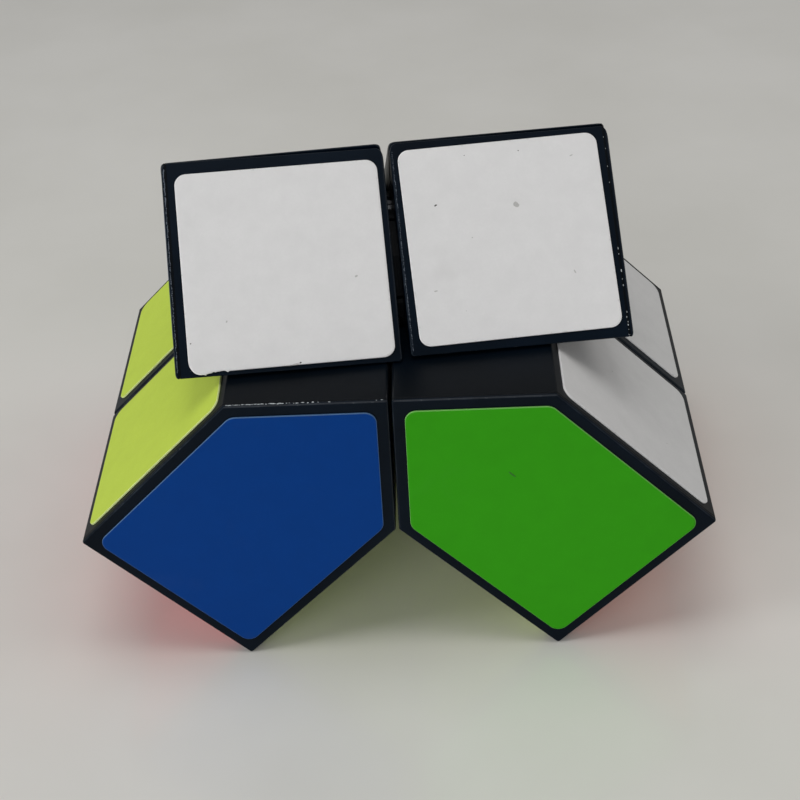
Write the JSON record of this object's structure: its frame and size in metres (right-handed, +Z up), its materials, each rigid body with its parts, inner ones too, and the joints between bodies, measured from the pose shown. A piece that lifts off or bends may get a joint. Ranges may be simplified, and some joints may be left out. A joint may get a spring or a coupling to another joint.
{
  "type": "twisty puzzle",
  "caption": "Twisty puzzle in the shape of an L of three squares, cut through its corner, with the upper layer part-way through a turn.",
  "frame": {"origin": "on the surface the puzzle stands on, straight below the centre of its core; the core's centre is 41.4 mm up", "axes": "+Z up along the turning axis of the upper layer; +X to the right, from the left pair of arms to the right pair; +Y to the back"},
  "size_m": [0.0828, 0.0584, 0.0622],
  "materials": {
    "black_plastic": "black moulded ABS, satin gloss with fine scuffs and rubbed edges",
    "inner_plastic": "dark grey moulded plastic, matt, lightly greased",
    "core_plastic": "natural nylon, matt",
    "steel": "zinc-plated screws and bright spring wire",
    "sticker_blue": "thin vinyl film, satin",
    "sticker_green": "thin vinyl film, satin",
    "sticker_yellow": "thin fluorescent vinyl film, satin",
    "sticker_white": "thin vinyl film, satin, with small specks and scuffs",
    "sticker_red": "thin vinyl film, satin",
    "sticker_orange": "thin vinyl film, satin"
  },
  "bodies": {
    "lower_layer": {"core_spider": "core_plastic", "top_hub_screw": "steel", "top_hub_spring": "steel", "bottom_hub": "inner_plastic", "bottom_hub_screw": "steel", "left_hub": "inner_plastic", "left_hub_screw": "steel", "right_hub": "inner_plastic", "right_hub_screw": "steel", "right_hub_spring": "steel", "front_hub": "inner_plastic", "front_hub_screw": "steel", "front_hub_spring": "steel", "back_hub": "inner_plastic", "back_hub_screw": "steel", "inner_edge_bottom_left": "inner_plastic", "inner_edge_bottom_right": "inner_plastic", "inner_edge_bottom_front": "inner_plastic", "inner_edge_bottom_back": "inner_plastic", "inner_edge_middle_front_left": "inner_plastic", "arm_body_front_left": "black_plastic", "arm_cover_front_left": "black_plastic", "sticker_pentagon_front_left": "sticker_blue", "sticker_slope_front_left": "sticker_yellow", "sticker_end_front_left": "sticker_red", "inner_edge_middle_front_right": "inner_plastic", "arm_body_front_right": "black_plastic", "arm_cover_front_right": "black_plastic", "sticker_pentagon_front_right": "sticker_green", "sticker_slope_front_right": "sticker_white", "sticker_end_front_right": "sticker_orange", "inner_edge_middle_back_left": "inner_plastic", "arm_body_back_left": "black_plastic", "arm_cover_back_left": "black_plastic", "sticker_pentagon_back_left": "sticker_green", "sticker_slope_back_left": "sticker_yellow", "sticker_end_back_left": "sticker_red", "inner_edge_middle_back_right": "inner_plastic", "arm_body_back_right": "black_plastic", "arm_cover_back_right": "black_plastic", "sticker_pentagon_back_right": "sticker_blue", "sticker_slope_back_right": "sticker_white", "sticker_end_back_right": "sticker_orange"},
    "upper_layer": {"top_hub": "inner_plastic", "inner_edge_top_left": "inner_plastic", "inner_edge_top_right": "inner_plastic", "inner_edge_top_front": "inner_plastic", "inner_edge_top_back": "inner_plastic", "roof_body_front_left": "black_plastic", "roof_cover_front_left": "black_plastic", "sticker_roof_front_left": "sticker_white", "roof_body_front_right": "black_plastic", "roof_cover_front_right": "black_plastic", "sticker_roof_front_right": "sticker_white", "roof_body_back_left": "black_plastic", "roof_cover_back_left": "black_plastic", "sticker_roof_back_left": "sticker_yellow", "roof_body_back_right": "black_plastic", "roof_cover_back_right": "black_plastic", "sticker_roof_back_right": "sticker_yellow"}
  },
  "joints": [
    {"name": "upper_layer_turn", "type": "hinge", "parent": "lower_layer", "child": "upper_layer", "pos_m": [0, 0, 0.04144], "axis": [0, 0, 1], "continuous": true}
  ]
}
